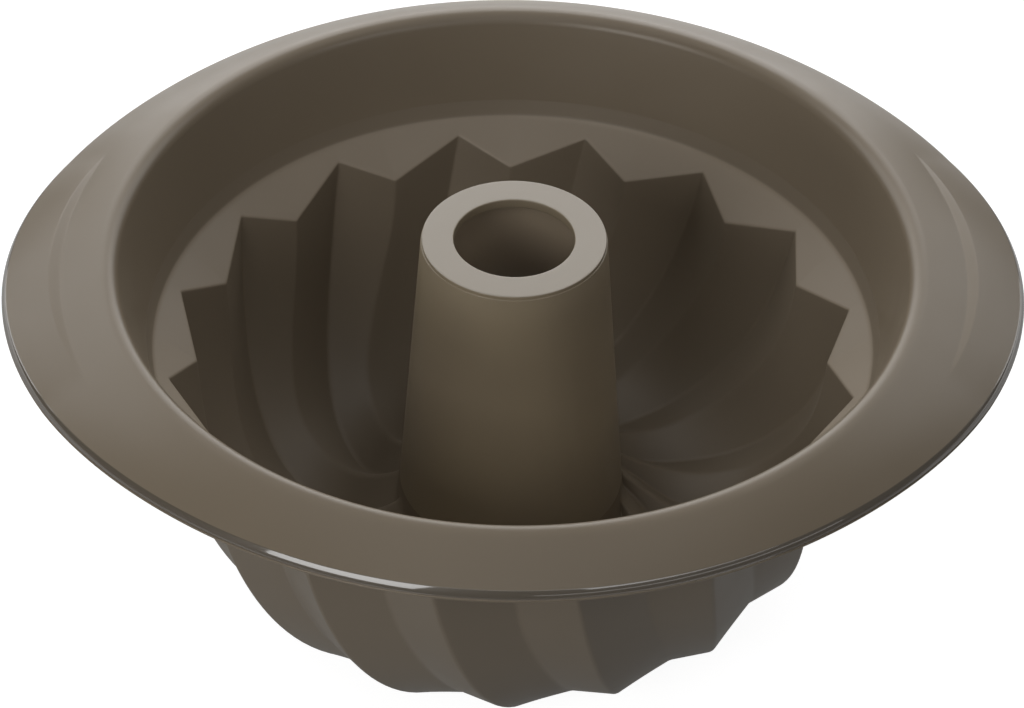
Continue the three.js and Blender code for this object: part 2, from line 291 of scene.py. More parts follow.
class RimSettings(bpy.types.PropertyGroup):
    """Sizes of the collar, the brim and the grips"""

    collar_rise: length("Collar rise", "Height of the collar above the ledge circle", 0.02754)
    collar_draft: angle("Collar draft", "Taper of the collar", 15.9)
    crest_round: length("Crest round", "Rounding from the collar up to the crest", 0.0038)
    brow_round: length("Brow round", "Gentler rounding from the crest down to the brim", 0.0075)
    droop: angle("Droop", "Mean fall of the brim at the front and back", 28.5)
    bow: angle("Bow", "How much less the brim falls beside the crest, and more at its edge", 6.5)
    wall: length("Brim wall", "Thickness of the brim", 0.0023)
    width: length("Brim width", "Width of the brim at the front and back", 0.0125)
    band: length("Band", "Width of the polished band along the outer edge", 0.00195)
    band_top: angle("Band top", "Tilt of the upper edge of that band", 50)
    band_foot: angle("Band foot", "Tilt of the lower edge of that band", 70)
    band_round: length("Band round", "Rounding of both edges of that band", 0.0004)
    lip_round: length("Lip round", "Radius of the bead along the lower edge", 0.0004)
    neck: length("Neck", "Depth of the hollow above that bead", 0.0005)
    grip_reach: length("Grip reach", "How far the grips stand out", 0.0127)
    grip_spread: share("Grip spread", "Share of the swelling that runs far round", 0.3)
    grip_raise: angle("Grip raise", "How much less the brim falls at the grips", 7.2)
    grip_span: angle("Grip span", "Half the angle of a crescent", 22.5)
    step_place: length("Step place", "Radius of the inner edge of the crescents", 0.124)
    step_width: length("Step width", "Width of a crescent in its middle", 0.0031)
    step_lift: length("Step lift", "How far a grip is raised beyond its crescent", 0.0013)
    step_round: length("Step round", "Rounding of the edges of a crescent", 0.00035)


class FinishSettings(bpy.types.PropertyGroup):
    """Look of the silicone"""

    body: colour("Silicone", "Main colour", (0.203, 0.164, 0.117))
    cloud: colour("Clouding", "Colour of the soft uneven patches", (0.190, 0.152, 0.107))
    # Chimney: lighter and warmer than the body, painted light for the light and bounce light on
    # its front
    chimney: colour("Chimney", "Main colour of the chimney", (0.29, 0.237, 0.157))
    # Ring: a paler level top, a painted highlight for the light from above and behind
    ring: colour("Ring", "Paler colour of the chimney's flat top", (0.322, 0.279, 0.225))
    # Bore: a paler inner wall, painted light inside the chimney
    bore: colour("Bore", "Paler colour inside the chimney", (0.41, 0.335, 0.245))
    # Band: a darker tone on the edge band, painted shade; its glossy coat is real
    band: colour("Band", "Shaded colour of the polished band along the edge", (0.11, 0.088, 0.062))
    # Ledge: a paler tone on the ledge rows, painted light for the light and sheen from above
    ledge: colour("Ledge", "Paler colour of the lamplit ledge", (0.27, 0.22, 0.162))
    satin: share("Satin", "Roughness inside the bowl", 0.55)
    outer: share("Outer gloss", "Roughness outside the bowl", 0.34)
    polish: share("Polish", "Roughness of the rim and the chimney", 0.33)
    edge: share("Edge polish", "Roughness along the outer edge of the rim", 0.06)
    bowl_sheen: share("Bowl sheen", "Reflectance of the bowl", 0.85)
    bowl_grain: share("Bowl grain", "Strength of the fine grain of the bowl", 0.12)
    chimney_sheen: share("Chimney sheen", "Reflectance of the chimney", 0.9)
    chimney_grain: share("Chimney grain", "Strength of the fine grain of the chimney", 0.1)
    rim_sheen: share("Rim sheen", "Reflectance of the rim", 0.6)
    rim_grain: share("Rim grain", "Strength of the fine grain of the rim", 0.08)


class StageSettings(bpy.types.PropertyGroup):
    """Floor, lamps and camera"""

    floor: colour("Floor", "Colour of the floor", (0.35, 0.35, 0.35))
    glow: share("Glow", "Plain white that the floor shows to the camera", 0.93)
    mirrored: share("Mirrored", "Share of that white that reflections see", 0.17)
    mirrored_sky: share("Mirrored sky", "Share of the white sky that reflections see", 0.02)
    sky: FloatProperty(
        name="Sky", description="Strength of the even light all round", default=0.06
    )
    top: power("Top lamp", "Lamp overhead", 3.1)
    back: power("Back lamp", "Wide lamp behind that doesn't show in reflections", 9.4)
    screen: power("Back screen", "Tall white screen behind that shows only in reflections", 10.5)
    back_left: power("Back left lamp", "White screen at the back left", 4.5)
    back_right: power("Back right lamp", "White screen at the back right", 3.7)
    key: power("Key lamp", "Wide lamp at the front left, not in reflections", 5.4)
    fill: power("Fill lamp", "Wide lamp at the front right", 2.1)
    front: power("Front lamp", "Small lamp high in front", 0.5)
    low: power("Low lamp", "Small lamp low at the left, not in reflections", 3.9)
    strip: power("Strip lamp", "Screen at the front left that shows only in reflections", 4.8)
    rail: power("Rail lamp", "Narrow lamp at the front right that shows only in reflections", 0.36)
    azimuth: angle("Azimuth", "Turn of the camera round the mould", -1.6)
    elevation: angle("Elevation", "Height of the camera above the horizon", 40.41)
    distance: length("Distance", "From the camera to the middle of the ledge circle", 1.16965)
    lens: FloatProperty(name="Lens", description="Focal length", default=147.89, unit="CAMERA")
    roll: angle("Roll", "Tilt of the camera", 0.86)
    shift: FloatVectorProperty(
        name="Shift", description="Offset of the frame", size=2, default=(-0.00078, -0.0185)
    )


class MouldSettings(bpy.types.PropertyGroup):
    """All settings of the mould"""

    flute: PointerProperty(type=FluteSettings)
    chimney: PointerProperty(type=ChimneySettings)
    rim: PointerProperty(type=RimSettings)
    finish: PointerProperty(type=FinishSettings)
    stage: PointerProperty(type=StageSettings)


# Curves and corners


def bezier(controls, count):
    """Points on the cubic curve with these four controls."""
    a, b, c, d = (np.array(point, float) for point in controls)
    t = np.linspace(0.0, 1.0, count)[:, None]
    return (1 - t) ** 3 * a + 3 * (1 - t) ** 2 * t * b + 3 * (1 - t) * t**2 * c + t**3 * d


def spaced(line, shares):
    """Points of a line of short steps at these shares of its length."""
    steps = np.linalg.norm(np.diff(line, axis=0), axis=1)
    along = np.concatenate(([0.0], np.cumsum(steps)))
    along /= along[-1]
    return np.column_stack([np.interp(shares, along, line[:, i]) for i in range(2)])


def moved_left(line, distance):
    """An outline of radius and height moved to its left; both ends keep their level."""
    along = np.diff(line, axis=0)
    along /= np.linalg.norm(along, axis=1)[:, None]
    normals = np.column_stack((-along[:, 1], along[:, 0]))
    middle = normals[:-1] + normals[1:]
    middle /= np.linalg.norm(middle, axis=1)[:, None]
    reach = distance / np.sum(middle * normals[1:], axis=1)
    moved = line.copy()
    moved[1:-1] += middle * reach[:, None]
    moved[0, 0] += distance / normals[0, 0]
    moved[-1, 0] += distance / normals[-1, 0]
    return moved


def placed(line, turns):
    """Radius and height pairs set at these angles round the axis."""
    return np.column_stack((line[:, 0] * np.cos(turns), line[:, 0] * np.sin(turns), line[:, 1]))


def turned(points, turn):
    """Points turned about the axis."""
    x = points[..., 0] * math.cos(turn) - points[..., 1] * math.sin(turn)
    y = points[..., 0] * math.sin(turn) + points[..., 1] * math.cos(turn)
    return np.stack((x, y, points[..., 2]), axis=-1)


def toward(start, end, reach):
    """Points this far from start on the way to end."""
    way = end - start
    return start + way / np.linalg.norm(way, axis=-1, keepdims=True) * reach


def corner(before, at, after, reach, t):
    """Point at share t of a corner that is rounded off over this reach."""
    return (
        (1 - t) ** 2 * toward(at, before, reach)
        + 2 * (1 - t) * t * at
        + t**2 * toward(at, after, reach)
    )


def between(start, end, shares):
    return [start + (end - start) * value for value in shares]


def arc(centre, radius, start, end, count):
    """Points in radius and height on a round, from one angle to another."""
    turns = np.linspace(start, end, count)
    ways = np.column_stack((np.cos(turns), np.sin(turns)))
    return list(np.array(centre) + radius * ways)


def round_chain(start, tilts, radii, count):
    """Rounds that follow on from each other, each between two tilts of the surface."""
    points = [start]
    for before, after, radius in zip(tilts[:-1], tilts[1:], radii):
        centre = points[-1] - radius * np.array((math.sin(before), math.cos(before)))
        points += arc(centre, radius, math.pi / 2 - before, math.pi / 2 - after, count)[1:]
    return points


# Shapes that the pieces share


def collar_radius(mould, level):
    flute = mould.flute
    return flute.ledge_radius + (level - flute.ledge_height) * math.tan(mould.rim.collar_draft)


def chimney_radius(mould, level):
    chimney = mould.chimney
    return chimney.top_radius + (chimney.height - level) * math.tan(chimney.draft)


def ledge_point(flute, inset):
    level = flute.ledge_height - inset * math.tan(flute.ledge_slope)
    return np.array((flute.ledge_radius - inset, level))


def groove_line(mould):
    """Bottom of a groove: down the wall, along the trough, up to the chimney."""
    flute = mould.flute
    floor = flute.wall - flute.foot_cut
    tip = ledge_point(flute, flute.tip_inset)
    low = np.array((flute.trough_radius, floor))
    root = np.array((chimney_radius(mould, flute.groove_root), flute.groove_root))
    wall = tip - low
    foot = low - root
    down = bezier(
        (
            tip,
            (tip[0] - wall[0] * flute.groove_lean, tip[1] - wall[1] * flute.groove_drop),
            (low[0] + wall[0] * flute.groove_belly, floor),
            low,
        ),
        GROOVE_WALL_POINTS,
    )
    rise = bezier(
        (
            low,
            (low[0] - foot[0] * flute.groove_lead, floor),
            root + foot * flute.groove_ease,
            root,
        ),
        GROOVE_FLOOR_POINTS,
    )
    return np.vstack((down, rise[1:]))


def ridge_line(mould):
    """Crown of a ridge, from its notch to the chimney."""
    flute = mould.flute
    notch = ledge_point(flute, flute.notch_inset)
    root = np.array((chimney_radius(mould, flute.ridge_root), flute.ridge_root))
    span = notch - root
    return bezier(
        (
            notch,
            (notch[0] - span[0] * flute.ridge_lean, notch[1] - span[1] * flute.ridge_sag),
            (root[0], root[1] - span[1] * flute.ridge_dip),
            root,
        ),
        RIDGE_POINTS,
    )


def flute_outline(mould, line):
    """Whole outline through a flute line, from the collar down and up to the chimney."""
    flute = mould.flute
    collar = (collar_radius(mould, COLLAR_FOOT), COLLAR_FOOT)
    ledge = (flute.ledge_radius, flute.ledge_height)
    chimney = (chimney_radius(mould, FLOOR_TOP), FLOOR_TOP)
    shares = np.linspace(0.0, 1.0, FLUTE_STEPS + 1)
    return np.vstack(([collar], [ledge], spaced(line, shares), [chimney]))


def flute_shares():
    """Share of the flute's length at each row of an outline."""
    return np.concatenate(([0.0, 0.0], np.linspace(0.0, 1.0, FLUTE_STEPS + 1), [1.0]))


def flute_grid(mould, groove, ridge, thicker):
    """One flute from groove to groove as rows of points; thicker is how far out its face lies."""
    flute = mould.flute
    pitch = math.tau / flute.flutes
    shares = flute_shares()
    powers = np.stack((shares, shares**2, shares**3), axis=1)
    notch = flute.phase + flute.tooth_share * pitch
    low = placed(groove, flute.phase + powers @ np.array(flute.groove_twist))
    high = placed(ridge, notch + powers @ np.array(flute.ridge_twist))
    before = turned(high, -pitch)
    after = turned(low, pitch)
    beyond = turned(high, pitch)
    facets = np.minimum(np.linalg.norm(high - low, axis=1), np.linalg.norm(after - high, axis=1))
    crease = flute.crease_high + (flute.crease_low - flute.crease_high) * shares**2
    if thicker:
        crease = np.full_like(shares, flute.crease_out)
    reach = np.minimum(crease, facets * CREASE_LIMIT)[:, None]
    half = np.linspace(0.5, 1.0, CREASE_STEPS + 1)
    whole = np.linspace(0.0, 1.0, CREASE_STEPS * 2 + 1)
    columns = [corner(before, low, high, reach, t) for t in half]
    columns += between(toward(low, high, reach), toward(high, low, reach), HOLDING_SHARES)
    columns += [corner(low, high, after, reach, t) for t in whole]
    columns += between(toward(high, after, reach), toward(after, high, reach), HOLDING_SHARES)
    columns += [corner(high, after, beyond, reach, t) for t in half - 0.5]
    rows = np.stack(columns, axis=1)
    for row in (COLLAR_ROW, LEDGE_ROW, CHIMNEY_ROW):
        radius = np.hypot(rows[row, :, 0], rows[row, :, 1])
        rows[row, :, :2] *= (groove[row, 0] / radius)[:, None]
    foot = rows[ROOT_ROW]
    root = chimney_radius(mould, foot[:, 2]) - thicker
    foot[:, :2] *= (root / np.hypot(foot[:, 0], foot[:, 1]))[:, None]
    return rows


def eased(rows, rounds):
    """Rows with some of them rounded off, and the ledge held flat by a few rows more."""
    done = []
    for i, row in enumerate(rows):
        if i in rounds:
            reach = rounds[i]
            steps = np.linspace(0.0, 1.0, FILLET_STEPS)
            done += [corner(rows[i - 1], row, rows[i + 1], reach, t) for t in steps]
        else:
            done.append(row)
        if i == LEDGE_ROW:
            start = toward(row, rows[TOOTH_ROW], rounds[LEDGE_ROW])
            end = toward(rows[TOOTH_ROW], row, rounds[TOOTH_ROW])
            done += between(start, end, FEW_SHARES)
    return np.stack(done)


# Outlines of the rim and the chimney


def rim_outline(mould, turn):
    """Closed outline of collar, crest and brim at a turn round the axis, and its polished rows."""
    rim = mould.rim
    flute = mould.flute
    lean = rim.collar_draft
    side = abs(math.cos(turn))
    droop = rim.droop - rim.grip_raise * side**RAISE_POWER
    away = abs(math.asin(max(-1.0, min(1.0, math.sin(turn)))))
    grip = max(0.0, 1.0 - (away / rim.grip_span) ** 2)
    start = flute.ledge_height + rim.collar_rise
    crest = np.array((
        collar_radius(mould, start) + rim.crest_round * math.cos(lean),
        start - rim.crest_round * math.sin(lean),
    ))
    brow = crest - np.array((0.0, rim.brow_round - rim.crest_round))
    wide = rim.grip_spread * side**WIDE_POWER
    swell = wide + (1 - rim.grip_spread) * side**NARROW_POWER
    outer = brow[0] + rim.brow_round * math.sin(rim.droop) + rim.width + rim.grip_reach * swell
    lift = rim.step_lift * grip
    first = droop - rim.bow
    last = droop + rim.bow
    leave = brow + rim.brow_round * np.array((math.sin(first), math.cos(first)))

    def slope(radius, rise=0.0):
        along = radius - leave[0]
        bend = (math.tan(last) - math.tan(first)) * along / (outer - leave[0]) / 2
        return np.array((radius, leave[1] - along * (math.tan(first) + bend) + rise))

    foot = slope(rim.step_place)
    head = slope(foot[0] + rim.step_width * (STEP_ENDS + (1 - STEP_ENDS) * grip), lift)
    ease = min(rim.step_round, STEP_ROUNDING * np.linalg.norm(head - foot))
    tilts = (last, rim.band_top, rim.band_foot, math.pi / 2)
    radii = (rim.band_round, rim.band / (rim.band_foot - rim.band_top), rim.band_round)
    inset = np.dot(np.diff(np.sin(tilts)), radii)
    shoulder = slope(outer - inset, lift)
    drop = np.array((0.0, rim.wall / math.cos(droop)))
    bottom = slope(outer, lift) - drop
    bead = np.array((outer - rim.lip_round, bottom[1] + rim.lip_round))
    levels = np.linspace(COLLAR_FOOT, start, COLLAR_STEPS + 1)[:-1]
    points = [np.array((collar_radius(mould, z), z)) for z in levels]
    points += arc(crest, rim.crest_round, math.pi - lean, math.pi / 2, CREST_POINTS)
    points += arc(brow, rim.brow_round, math.pi / 2, math.pi / 2 - first, BROW_POINTS)[1:]
    easing = np.linspace(0.0, 1.0, STEP_POINTS)
    before = slope(foot[0] - rim.step_width)
    after = slope(head[0] + rim.step_width, lift)
    points += [slope(radius) for radius in between(leave[0], foot[0] - ease, BRIM_SHARES)]
    points += [corner(before, foot, head, ease, t) for t in easing]
    points += between(toward(foot, head, ease), toward(head, foot, ease), STEP_SHARES)
    points += [corner(foot, head, after, ease, t) for t in easing]
    points += [slope(radius, lift) for radius in between(head[0] + ease, shoulder[0], BRIM_SHARES)]
    polish_start = len(points)
    points += round_chain(shoulder, tilts, radii, EDGE_POINTS)
    edge = points[-1]
    neck = np.array((outer - rim.neck, bead[1] + rim.lip_round * NECK_RISE))
    points += [edge + (neck - edge) * np.array(shares) for shares in NECK_SHARES]
    points.append(neck)
    polished = slice(polish_start, len(points))
    points += arc(bead, rim.lip_round, BEAD_START, BEAD_END, BEAD_POINTS)
    points += [head - drop, foot - drop]
    points += [slope(radius) - drop for radius in between(foot[0], leave[0], UNDER_BRIM_SHARES)]
    under = rim.brow_round - rim.wall
    points += arc(brow, under, math.pi / 2 - first, math.pi / 2, UNDER_BROW_POINTS)
    for swing in np.linspace(math.pi / 2, math.pi - lean, UNDER_CREST_STEPS + 1)[1:]:
        skin = rim.wall + (flute.wall - rim.wall) * (swing - math.pi / 2) / (math.pi / 2 - lean)
        way = np.array((math.cos(swing), math.sin(swing)))
        points.append(crest + (rim.crest_round - skin) * way)
    span = flute.wall / math.cos(lean)
    low = crest[1] + (rim.crest_round - flute.wall) * math.sin(lean)
    for z in np.linspace(low, COLLAR_FOOT, UNDER_COLLAR_STEPS + 1)[1:]:
        points.append(np.array((collar_radius(mould, z) + span, z)))
    return np.array(points), polished


def chimney_outline(mould):
    """Closed outline of the chimney, with the rows of its flat top and of its bore."""
    chimney = mould.chimney
    wall = mould.flute.wall / math.cos(chimney.draft)
    top = chimney.height
    step = chimney.line_step
    line = top - chimney.line_drop
    points = []
    for z in np.linspace(FLOOR_TOP, line - step, SIDE_POINTS):
        points.append((chimney_radius(mould, z), z))
    side = chimney_radius(mould, line)
    points += arc((side - step, line - step), step, 0.0, math.pi / 2, LINE_POINTS)[1:]
    edge = chimney_radius(mould, top) - step - chimney.top_round
    bend = chimney.top_round
    points += arc((edge, top - bend), bend, 0.0, math.pi / 2, TOP_POINTS)
    ring_start = len(points) - TOP_POINTS // 2
    rim = chimney.hole_radius + chimney.hole_round
    points += between(np.array((edge, top)), np.array((rim, top)), FEW_SHARES)
    ring = slice(ring_start, len(points) + 1)
    bend = chimney.hole_round
    roof = top - chimney.top_wall
    points += arc((rim, top - bend), bend, math.pi / 2, math.pi, HOLE_POINTS)
    points += arc((rim, roof + bend), bend, math.pi, math.pi * 3 / 2, HOLE_POINTS)
    bore_start = len(points)
    bend = chimney.roof_round
    inner = chimney_radius(mould, roof) - wall
    points.append((inner - 2 * bend, roof))
    points += arc((inner - bend, roof - bend), bend, math.pi / 2, 0.0, ROOF_POINTS)
    for z in np.linspace(roof - 4 * bend, FLOOR_TOP, BORE_POINTS):
        points.append((chimney_radius(mould, z) - wall, z))
    return np.array(points), ring, slice(bore_start, len(points))


# Meshes and objects


def quads(upper, lower):
    """Faces between two rows of corner numbers."""
    return list(zip(upper[:-1], upper[1:], lower[1:], lower[:-1]))


def new_piece(name, corners, faces, material):
    mesh = bpy.data.meshes.new(name)
    mesh.from_pydata([tuple(point) for point in corners], [], faces)
    mesh.materials.append(material)
    piece = bpy.data.objects.new(name, mesh)
    bpy.context.scene.collection.objects.link(piece)
    return piece


def finish_piece(piece, *nodes):
    """Smooths a finished piece and puts it in place of its solids."""
    mesh = piece.data
    mesh.validate()
    mesh.shade_smooth()
    mesh.set_sharp_from_angle(angle=SHARP_ANGLE)
    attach(piece, "root")
    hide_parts(*nodes)


def ring_piece(name, rings, material, inward):
    """Closed skin through rings of points; the last ring joins the first."""
    count = len(rings[0])
    rows = [[r * count + c for c in (*range(count), 0)] for r in (*range(len(rings)), 0)]
    faces = []
    for upper, lower in zip(rows[:-1], rows[1:]):
        faces += quads(lower, upper) if inward else quads(upper, lower)
    return new_piece(name, np.concatenate(rings), faces, material)


def sector_piece(name, inside, outside, material):
    """Skin of one flute: inner face, outer face and the two level ends."""
    rows, columns = inside.shape[:2]
    inner = [[r * columns + c for c in range(columns)] for r in range(rows)]
    outer = [[rows * columns + index for index in row] for row in inner]
    faces = quads(outer[0], inner[0]) + quads(inner[-1], outer[-1])
    for r in range(rows - 1):
        faces += quads(inner[r], inner[r + 1])
        faces += quads(outer[r + 1], outer[r])
    corners = np.concatenate((inside.reshape(-1, 3), outside.reshape(-1, 3)))
    return new_piece(name, corners, faces, material)


def flute_ring_tree():
    """Geometry nodes that repeat one flute round the axis and weld the ring."""
    tree = bpy.data.node_groups.new("flute_ring", "GeometryNodeTree")
    sockets = tree.interface
    sockets.new_socket("Geometry", in_out="INPUT", socket_type="NodeSocketGeometry")
    inputs = {}
    for name, kind in (("Flutes", "Int"), ("Weld", "Float"), ("Material", "Material")):
        inputs[name] = sockets.new_socket(
            name, in_out="INPUT", socket_type="NodeSocket" + kind
        )
    sockets.new_socket("Geometry", in_out="OUTPUT", socket_type="NodeSocketGeometry")
    add = tree.nodes.new
    link = tree.links.new
    given = add("NodeGroupInput")
    result = add("NodeGroupOutput")
    points = add("GeometryNodePoints")
    index = add("GeometryNodeInputIndex")
    step = add("ShaderNodeMath")
    step.operation = "DIVIDE"
    step.inputs[0].default_value = math.tau
    turn = add("ShaderNodeMath")
    turn.operation = "MULTIPLY"
    about = add("ShaderNodeCombineXYZ")
    rotation = add("FunctionNodeEulerToRotation")
    instances = add("GeometryNodeInstanceOnPoints")
    realize = add("GeometryNodeRealizeInstances")
    weld = add("GeometryNodeMergeByDistance")
    paint = add("GeometryNodeSetMaterial")
    link(given.outputs["Flutes"], points.inputs["Count"])
    link(given.outputs["Flutes"], step.inputs[1])
    link(index.outputs["Index"], turn.inputs[0])
    link(step.outputs["Value"], turn.inputs[1])
    link(turn.outputs["Value"], about.inputs["Z"])
    link(about.outputs["Vector"], rotation.inputs["Euler"])
    link(points.outputs["Points"], instances.inputs["Points"])
    link(given.outputs["Geometry"], instances.inputs["Instance"])
    link(rotation.outputs["Rotation"], instances.inputs["Rotation"])
    link(instances.outputs["Instances"], realize.inputs["Geometry"])
    link(realize.outputs["Geometry"], weld.inputs["Geometry"])
    link(given.outputs["Weld"], weld.inputs["Distance"])
    link(weld.outputs["Geometry"], paint.inputs["Geometry"])
    link(given.outputs["Material"], paint.inputs["Material"])
    link(paint.outputs["Geometry"], result.inputs["Geometry"])
    return tree, inputs


def repeat_flute(piece, flutes, material):
    """Runs the flute ring on a piece and keeps the result as its plain mesh."""
    tree, inputs = flute_ring_tree()
    ring = piece.modifiers.new("flute_ring", "NODES")
    ring.node_group = tree
    ring[inputs["Flutes"].identifier] = flutes
    ring[inputs["Weld"].identifier] = WELD_REACH
    ring[inputs["Material"].identifier] = material
    graph = bpy.context.evaluated_depsgraph_get()
    mesh = bpy.data.meshes.new_from_object(piece.evaluated_get(graph))
    piece.modifiers.remove(ring)
    sector = piece.data
    piece.data = mesh
    mesh.name = piece.name
    bpy.data.meshes.remove(sector)


# Finish


def silicone_group():
    """Shader group for moulded silicone: clouded colour, uneven gloss and a fine grain."""
    group = bpy.data.node_groups.get("moulded_silicone")
    if group:
        return group
    group = bpy.data.node_groups.new("moulded_silicone", "ShaderNodeTree")
    sockets = group.interface
    for name, kind in (
        ("Body", "NodeSocketColor"),
        ("Cloud", "NodeSocketColor"),
        ("Gloss", "NodeSocketFloat"),
        ("Spread", "NodeSocketFloat"),
    ):
        sockets.new_socket(name, in_out="INPUT", socket_type=kind)
    sockets.new_socket("Colour", in_out="OUTPUT", socket_type="NodeSocketColor")
    sockets.new_socket("Roughness", in_out="OUTPUT", socket_type="NodeSocketFloat")
    sockets.new_socket("Grain", in_out="OUTPUT", socket_type="NodeSocketFloat")
    add = group.nodes.new
    link = group.links.new
    given = add("NodeGroupInput")
    result = add("NodeGroupOutput")
    place = add("ShaderNodeTexCoord")

    def noise(scale):
        node = add("ShaderNodeTexNoise")
        node.inputs["Scale"].default_value = scale
        node.inputs["Detail"].default_value = NOISE_DETAIL
        link(place.outputs["Object"], node.inputs["Vector"])
        return node.outputs["Fac"]

    clouds = add("ShaderNodeMapRange")
    clouds.inputs["From Min"].default_value = CLOUD_RANGE[0]
    clouds.inputs["From Max"].default_value = CLOUD_RANGE[1]
    link(noise(CLOUD_SCALE), clouds.inputs["Value"])
    mix = add("ShaderNodeMix")
    mix.data_type = "RGBA"
    link(clouds.outputs["Result"], mix.inputs["Factor"])
    link(given.outputs["Body"], mix.inputs["A"])
    link(given.outputs["Cloud"], mix.inputs["B"])
    link(mix.outputs["Result"], result.inputs["Colour"])
    smear = add("ShaderNodeMath")
    smear.operation = "SUBTRACT"
    smear.inputs[1].default_value = NOISE_MIDDLE
    link(noise(SMEAR_SCALE), smear.inputs[0])
    uneven = add("ShaderNodeMath")
    uneven.operation = "MULTIPLY_ADD"
    link(smear.outputs["Value"], uneven.inputs[0])
    link(given.outputs["Spread"], uneven.inputs[1])
    link(given.outputs["Gloss"], uneven.inputs[2])
    link(uneven.outputs["Value"], result.inputs["Roughness"])
    link(noise(GRAIN_SCALE), result.inputs["Grain"])
    return group


def silicone_material(name, body, cloud, gloss, sheen, grain):
    """Silicone with its own colours, roughness, reflectance and strength of its fine grain."""
    material = bpy.data.materials.new(name)
    material.use_nodes = True
    nodes = material.node_tree.nodes
    link = material.node_tree.links.new
    shader = nodes["Principled BSDF"]
    shader.inputs["IOR"].default_value = SILICONE_IOR
    shader.inputs["Specular IOR Level"].default_value = sheen
    skin = nodes.new("ShaderNodeGroup")
    skin.name = "moulded_silicone"
    skin.node_tree = silicone_group()
    skin.inputs["Body"].default_value = (*body, 1.0)
    skin.inputs["Cloud"].default_value = (*cloud, 1.0)
    skin.inputs["Gloss"].default_value = gloss
    skin.inputs["Spread"].default_value = GLOSS_SPREAD
    bump = nodes.new("ShaderNodeBump")
    bump.inputs["Strength"].default_value = grain
    bump.inputs["Distance"].default_value = GRAIN_DEPTH
    link(skin.outputs["Grain"], bump.inputs["Height"])
    link(skin.outputs["Colour"], shader.inputs["Base Color"])
    link(skin.outputs["Roughness"], shader.inputs["Roughness"])
    link(bump.outputs["Normal"], shader.inputs["Normal"])
    return material


def row_mask(shape, rows):
    """A mask that is one on these rows and nought elsewhere."""
    mask = np.zeros(shape, np.float32)
    mask[rows] = 1.0
    return mask


def add_mask(piece, name, values):
    """Stores a mask on the corners of a piece."""
    mask = piece.data.attributes.new(name, "FLOAT", "POINT")
    mask.data.foreach_set("value", values.ravel())


def mask_output(material, name):
    """Socket of a material that reads such a mask."""
    mask = material.node_tree.nodes.new("ShaderNodeAttribute")
    mask.attribute_name = name
    return mask.outputs["Fac"]


def polish_outside(material, inside, outside):
    """Lets the outer mask of a mesh change the roughness from its inside to its outside."""
    nodes = material.node_tree.nodes
    link = material.node_tree.links.new
    gloss = nodes.new("ShaderNodeMapRange")
    gloss.inputs["To Min"].default_value = inside
    gloss.inputs["To Max"].default_value = outside
    link(mask_output(material, "outer"), gloss.inputs["Value"])
    link(gloss.outputs["Result"], nodes["moulded_silicone"].inputs["Gloss"])


def paint_light_and_shade(material, mask, tone):
    """Lets a mask of the mesh change the colour of its silicone to this tone; the paler tones are
    painted light and the band's deeper tone is painted shade.
    """
    nodes = material.node_tree.nodes
    link = material.node_tree.links.new
    base = nodes["Principled BSDF"].inputs["Base Color"]
    mix = nodes.new("ShaderNodeMix")
    mix.data_type = "RGBA"
    mix.inputs["B"].default_value = (*tone, 1.0)
    link(mask, mix.inputs["Factor"])
    link(base.links[0].from_socket, mix.inputs["A"])
    link(mix.outputs["Result"], base)


def polish_and_shade_edge(material, band, gloss):
    """Lets the edge mask of a mesh darken its colour with painted shade and lay a glossy coat on
    it.
    """
    shader = material.node_tree.nodes["Principled BSDF"]
    shader.inputs["Coat IOR"].default_value = COAT_IOR
    shader.inputs["Coat Roughness"].default_value = gloss
    mask = mask_output(material, "edge")
    # Painted shade: the edge mask darkens the band's colour
    paint_light_and_shade(material, mask, band)
    material.node_tree.links.new(mask, shader.inputs["Coat Weight"])


# Steps that make the pieces


class MakeBowl(bpy.types.Operator):
    """Make the fluted bowl with its toothed ledge"""

    bl_idname = "cake_mould.make_bowl"
    bl_label = "Make Bowl"

    def execute(self, context):
        mould = context.scene.cake_mould
        flute = mould.flute
        groove = flute_outline(mould, groove_line(mould))
        ridge = flute_outline(mould, ridge_line(mould))
        inside = flute_grid(mould, groove, ridge, 0.0)
        outside = flute_grid(
            mould, moved_left(groove, flute.wall), moved_left(ridge, flute.ridge_wall), flute.wall
        )
        rounds = {
            LEDGE_ROW: flute.ledge_round,
            TOOTH_ROW: flute.tooth_round,
            ROOT_ROW: flute.root_round,
        }
        inside = eased(inside, rounds)
        outside = eased(outside, {row: reach * OUTER_ROUNDS for row, reach in rounds.items()})
        outside[..., 2] = np.maximum(outside[..., 2], 0.0)
        finish = mould.finish
        material = silicone_material(
            "silicone_satin",
            finish.body,
            finish.cloud,
            finish.satin,
            finish.bowl_sheen,
            finish.bowl_grain,
        )
        polish_outside(material, finish.satin, finish.outer)
        # Painted light: the paler ledge tone on the rows stored in the mask below
        paint_light_and_shade(material, mask_output(material, "frost"), finish.ledge)
        piece = sector_piece("fluted_bowl_skin", inside, outside, material)
        grid = inside.shape[:2]
        add_mask(piece, "outer", np.stack((np.zeros(grid), np.ones(grid))))
        add_mask(piece, "frost", np.stack((row_mask(grid, LIT_LEDGE_ROWS), np.zeros(grid))))
        repeat_flute(piece, flute.flutes, material)
        finish_piece(piece, "toothed_shoulder", "fluted_wall", "fluted_floor")
        return {"FINISHED"}


